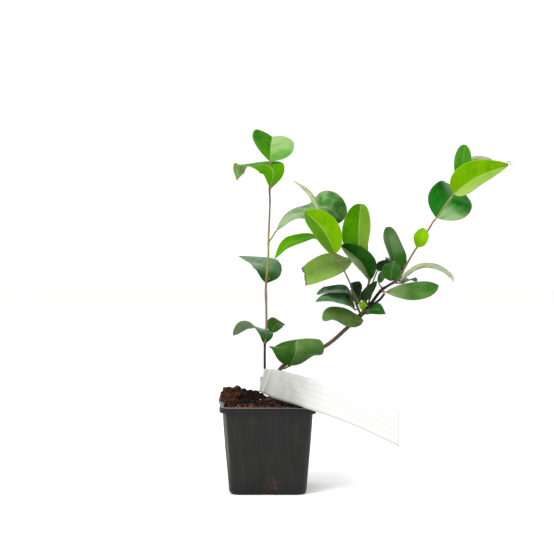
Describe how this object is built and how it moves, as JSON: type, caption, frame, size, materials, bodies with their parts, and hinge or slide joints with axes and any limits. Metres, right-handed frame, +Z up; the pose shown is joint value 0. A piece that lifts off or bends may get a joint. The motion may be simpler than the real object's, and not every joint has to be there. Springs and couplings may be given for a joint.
{
  "type": "potted camellia",
  "caption": "Young camellia in a square nursery pot: a thin upright stem and a longer leaning bough with glossy oval leaves, and a blank white label looped round the stems.",
  "frame": {"origin": "centre of the pot's flat underside", "axes": "+Z up; +X to the right, the way the long bough leans; -Y to the front of the pot, as in the picture"},
  "size_m": [0.2842, 0.1774, 0.35],
  "materials": {
    "pot_plastic": "satin",
    "potting_mix": "rough",
    "bark": "matt",
    "young_green_leaf": "glossy",
    "mid_green_leaf": "glossy",
    "dark_green_leaf": "glossy",
    "label_plastic": "satin"
  },
  "bodies": {
    "root": {"pot": "pot_plastic", "soil": "potting_mix", "trunk": "bark", "upright_stem": "bark", "leaning_bough": "bark", "upper_bough": "bark", "upright_lower_leaves": "mid_green_leaf", "upright_top_leaves": "young_green_leaf", "foot_leaf": "mid_green_leaf", "fork_leaves": "dark_green_leaf", "left_twig_leaves": "young_green_leaf", "inner_twig_leaves": "young_green_leaf", "right_leaves": "dark_green_leaf", "upper_right_leaves": "young_green_leaf", "label": "label_plastic"}
  },
  "joints": []
}
